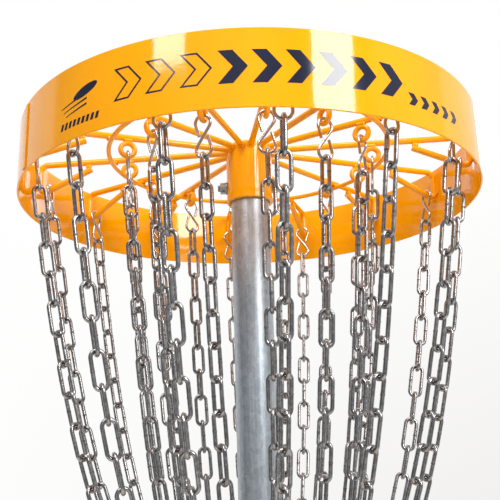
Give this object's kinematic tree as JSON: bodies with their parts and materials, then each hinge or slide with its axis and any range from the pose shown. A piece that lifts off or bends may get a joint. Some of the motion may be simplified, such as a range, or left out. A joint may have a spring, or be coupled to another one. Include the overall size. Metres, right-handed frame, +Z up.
{
  "type": "disc golf basket",
  "caption": "Disc golf target: a pole with a wire catch cage below and a yellow band above, with hanging chains gathered by a ring round the pole.",
  "frame": {"origin": "on the ground at the middle of the base plate, on the axis of the pole", "axes": "+Z up along the pole; +X along the sleeve bolts, towards their heads; -Y is the side the graphics on the band face"},
  "size_m": [0.6599, 0.66, 1.421],
  "materials": {
    "yellow_powder_coat": "glossy amber-yellow powder coat on steel",
    "galvanised_steel": "hot-dip galvanised tube and plate, faint spangle and streaks",
    "zinc_chain": "galvanised welded chain and bright zinc-plated hooks",
    "zinc_fastener": "bright zinc-plated bolts, nuts and washers",
    "black_plastic": "moulded black plug"
  },
  "bodies": {
    "root": {"band": "yellow_powder_coat", "band_seam": "yellow_powder_coat", "base_gussets": "galvanised_steel", "base_plate": "galvanised_steel", "base_socket": "galvanised_steel", "cage_bottom_ring": "yellow_powder_coat", "cage_floor_ring_inner": "yellow_powder_coat", "cage_floor_ring_outer": "yellow_powder_coat", "cage_floor_wires_long": "yellow_powder_coat", "cage_floor_wires_short": "yellow_powder_coat", "cage_hub": "yellow_powder_coat", "cage_middle_ring": "yellow_powder_coat", "cage_rim": "yellow_powder_coat", "cage_wall_wires": "yellow_powder_coat", "chain_eyes": "yellow_powder_coat", "hub_collar": "yellow_powder_coat", "lock_nuts": "zinc_fastener", "pole": "galvanised_steel", "pole_cap": "black_plastic", "rack_arms": "yellow_powder_coat", "rack_ring": "yellow_powder_coat", "through_bolts": "zinc_fastener", "washers": "zinc_fastener"},
    "chain_ring": {"chain_ring": "zinc_chain"},
    "chain_outer_01": {"chain_outer_01": "zinc_chain"},
    "chain_outer_02": {"chain_outer_02": "zinc_chain"},
    "chain_outer_03": {"chain_outer_03": "zinc_chain"},
    "chain_outer_04": {"chain_outer_04": "zinc_chain"},
    "chain_outer_05": {"chain_outer_05": "zinc_chain"},
    "chain_outer_06": {"chain_outer_06": "zinc_chain"},
    "chain_outer_07": {"chain_outer_07": "zinc_chain"},
    "chain_outer_08": {"chain_outer_08": "zinc_chain"},
    "chain_outer_09": {"chain_outer_09": "zinc_chain"},
    "chain_outer_10": {"chain_outer_10": "zinc_chain"},
    "chain_outer_11": {"chain_outer_11": "zinc_chain"},
    "chain_outer_12": {"chain_outer_12": "zinc_chain"},
    "chain_outer_13": {"chain_outer_13": "zinc_chain"},
    "chain_outer_14": {"chain_outer_14": "zinc_chain"},
    "chain_inner_01": {"chain_inner_01": "zinc_chain"},
    "chain_inner_02": {"chain_inner_02": "zinc_chain"},
    "chain_inner_03": {"chain_inner_03": "zinc_chain"},
    "chain_inner_04": {"chain_inner_04": "zinc_chain"},
    "chain_inner_05": {"chain_inner_05": "zinc_chain"},
    "chain_inner_06": {"chain_inner_06": "zinc_chain"},
    "chain_inner_07": {"chain_inner_07": "zinc_chain"},
    "chain_inner_08": {"chain_inner_08": "zinc_chain"},
    "chain_inner_09": {"chain_inner_09": "zinc_chain"},
    "chain_inner_10": {"chain_inner_10": "zinc_chain"},
    "chain_inner_11": {"chain_inner_11": "zinc_chain"},
    "chain_inner_12": {"chain_inner_12": "zinc_chain"},
    "chain_inner_13": {"chain_inner_13": "zinc_chain"},
    "chain_inner_14": {"chain_inner_14": "zinc_chain"}
  },
  "joints": [
    {"name": "chain_outer_01_swing", "type": "hinge", "parent": "root", "child": "chain_outer_01", "pos_m": [0.00109, -0.05799, 0.82203], "axis": [0.056, -0.3416, 0.9382], "range_deg": [-20, 5]},
    {"name": "chain_outer_02_swing", "type": "hinge", "parent": "root", "child": "chain_outer_02", "pos_m": [0.02614, -0.05178, 0.82203], "axis": [0.1986, -0.2835, 0.9382], "range_deg": [-20, 5]},
    {"name": "chain_outer_03_swing", "type": "hinge", "parent": "root", "child": "chain_outer_03", "pos_m": [0.04601, -0.03531, 0.82203], "axis": [0.302, -0.1693, 0.9382], "range_deg": [-20, 5]},
    {"name": "chain_outer_04_swing", "type": "hinge", "parent": "root", "child": "chain_outer_04", "pos_m": [0.05678, -0.01185, 0.82203], "axis": [0.3455, -0.0215, 0.9382], "range_deg": [-20, 5]},
    {"name": "chain_outer_05_swing", "type": "hinge", "parent": "root", "child": "chain_outer_05", "pos_m": [0.05629, 0.01396, 0.82203], "axis": [0.3206, 0.1306, 0.9382], "range_deg": [-20, 5]},
    {"name": "chain_outer_06_swing", "type": "hinge", "parent": "root", "child": "chain_outer_06", "pos_m": [0.04466, 0.037, 0.82203], "axis": [0.2322, 0.2568, 0.9382], "range_deg": [-20, 5]},
    {"name": "chain_outer_07_swing", "type": "hinge", "parent": "root", "child": "chain_outer_07", "pos_m": [0.02418, 0.05272, 0.82203], "axis": [0.0978, 0.3321, 0.9382], "range_deg": [-20, 5]},
    {"name": "chain_outer_08_swing", "type": "hinge", "parent": "root", "child": "chain_outer_08", "pos_m": [-0.00109, 0.05799, 0.82203], "axis": [-0.056, 0.3416, 0.9382], "range_deg": [-20, 5]},
    {"name": "chain_outer_09_swing", "type": "hinge", "parent": "root", "child": "chain_outer_09", "pos_m": [-0.02614, 0.05178, 0.82203], "axis": [-0.1986, 0.2835, 0.9382], "range_deg": [-20, 5]},
    {"name": "chain_outer_10_swing", "type": "hinge", "parent": "root", "child": "chain_outer_10", "pos_m": [-0.04601, 0.03531, 0.82203], "axis": [-0.302, 0.1693, 0.9382], "range_deg": [-20, 5]},
    {"name": "chain_outer_11_swing", "type": "hinge", "parent": "root", "child": "chain_outer_11", "pos_m": [-0.05678, 0.01185, 0.82203], "axis": [-0.3455, 0.0215, 0.9382], "range_deg": [-20, 5]},
    {"name": "chain_outer_12_swing", "type": "hinge", "parent": "root", "child": "chain_outer_12", "pos_m": [-0.05629, -0.01396, 0.82203], "axis": [-0.3206, -0.1306, 0.9382], "range_deg": [-20, 5]},
    {"name": "chain_outer_13_swing", "type": "hinge", "parent": "root", "child": "chain_outer_13", "pos_m": [-0.04466, -0.037, 0.82203], "axis": [-0.2322, -0.2568, 0.9382], "range_deg": [-20, 5]},
    {"name": "chain_outer_14_swing", "type": "hinge", "parent": "root", "child": "chain_outer_14", "pos_m": [-0.02418, -0.05272, 0.82203], "axis": [-0.0978, -0.3321, 0.9382], "range_deg": [-20, 5]},
    {"name": "chain_inner_01_swing", "type": "hinge", "parent": "root", "child": "chain_inner_01", "pos_m": [0.01396, -0.05629, 0.82203], "axis": [0.0113, -0.1716, 0.9851], "range_deg": [-20, 20]},
    {"name": "chain_inner_02_swing", "type": "hinge", "parent": "root", "child": "chain_inner_02", "pos_m": [0.037, -0.04466, 0.82203], "axis": [0.0846, -0.1497, 0.9851], "range_deg": [-20, 20]},
    {"name": "chain_inner_03_swing", "type": "hinge", "parent": "root", "child": "chain_inner_03", "pos_m": [0.05272, -0.02418, 0.82203], "axis": [0.1412, -0.0982, 0.9851], "range_deg": [-20, 20]},
    {"name": "chain_inner_04_swing", "type": "hinge", "parent": "root", "child": "chain_inner_04", "pos_m": [0.05799, 0.00109, 0.82203], "axis": [0.1698, -0.0272, 0.9851], "range_deg": [-20, 20]},
    {"name": "chain_inner_05_swing", "type": "hinge", "parent": "root", "child": "chain_inner_05", "pos_m": [0.05178, 0.02614, 0.82203], "axis": [0.1648, 0.0492, 0.9851], "range_deg": [-20, 20]},
    {"name": "chain_inner_06_swing", "type": "hinge", "parent": "root", "child": "chain_inner_06", "pos_m": [0.03531, 0.04601, 0.82203], "axis": [0.1271, 0.1158, 0.9851], "range_deg": [-20, 20]},
    {"name": "chain_inner_07_swing", "type": "hinge", "parent": "root", "child": "chain_inner_07", "pos_m": [0.01185, 0.05678, 0.82203], "axis": [0.0643, 0.1595, 0.9851], "range_deg": [-20, 20]},
    {"name": "chain_inner_08_swing", "type": "hinge", "parent": "root", "child": "chain_inner_08", "pos_m": [-0.01396, 0.05629, 0.82203], "axis": [-0.0113, 0.1716, 0.9851], "range_deg": [-20, 20]},
    {"name": "chain_inner_09_swing", "type": "hinge", "parent": "root", "child": "chain_inner_09", "pos_m": [-0.037, 0.04466, 0.82203], "axis": [-0.0846, 0.1497, 0.9851], "range_deg": [-20, 20]},
    {"name": "chain_inner_10_swing", "type": "hinge", "parent": "root", "child": "chain_inner_10", "pos_m": [-0.05272, 0.02418, 0.82203], "axis": [-0.1412, 0.0982, 0.9851], "range_deg": [-20, 20]},
    {"name": "chain_inner_11_swing", "type": "hinge", "parent": "root", "child": "chain_inner_11", "pos_m": [-0.05799, -0.00109, 0.82203], "axis": [-0.1698, 0.0272, 0.9851], "range_deg": [-20, 20]},
    {"name": "chain_inner_12_swing", "type": "hinge", "parent": "root", "child": "chain_inner_12", "pos_m": [-0.05178, -0.02614, 0.82203], "axis": [-0.1648, -0.0492, 0.9851], "range_deg": [-20, 20]},
    {"name": "chain_inner_13_swing", "type": "hinge", "parent": "root", "child": "chain_inner_13", "pos_m": [-0.03531, -0.04601, 0.82203], "axis": [-0.1271, -0.1158, 0.9851], "range_deg": [-20, 20]},
    {"name": "chain_inner_14_swing", "type": "hinge", "parent": "root", "child": "chain_inner_14", "pos_m": [-0.01185, -0.05678, 0.82203], "axis": [-0.0643, -0.1595, 0.9851], "range_deg": [-20, 20]},
    {"name": "chain_ring_turn", "type": "hinge", "parent": "root", "child": "chain_ring", "pos_m": [0, 0, 0.82203], "axis": [0, 0, 1], "continuous": true}
  ]
}
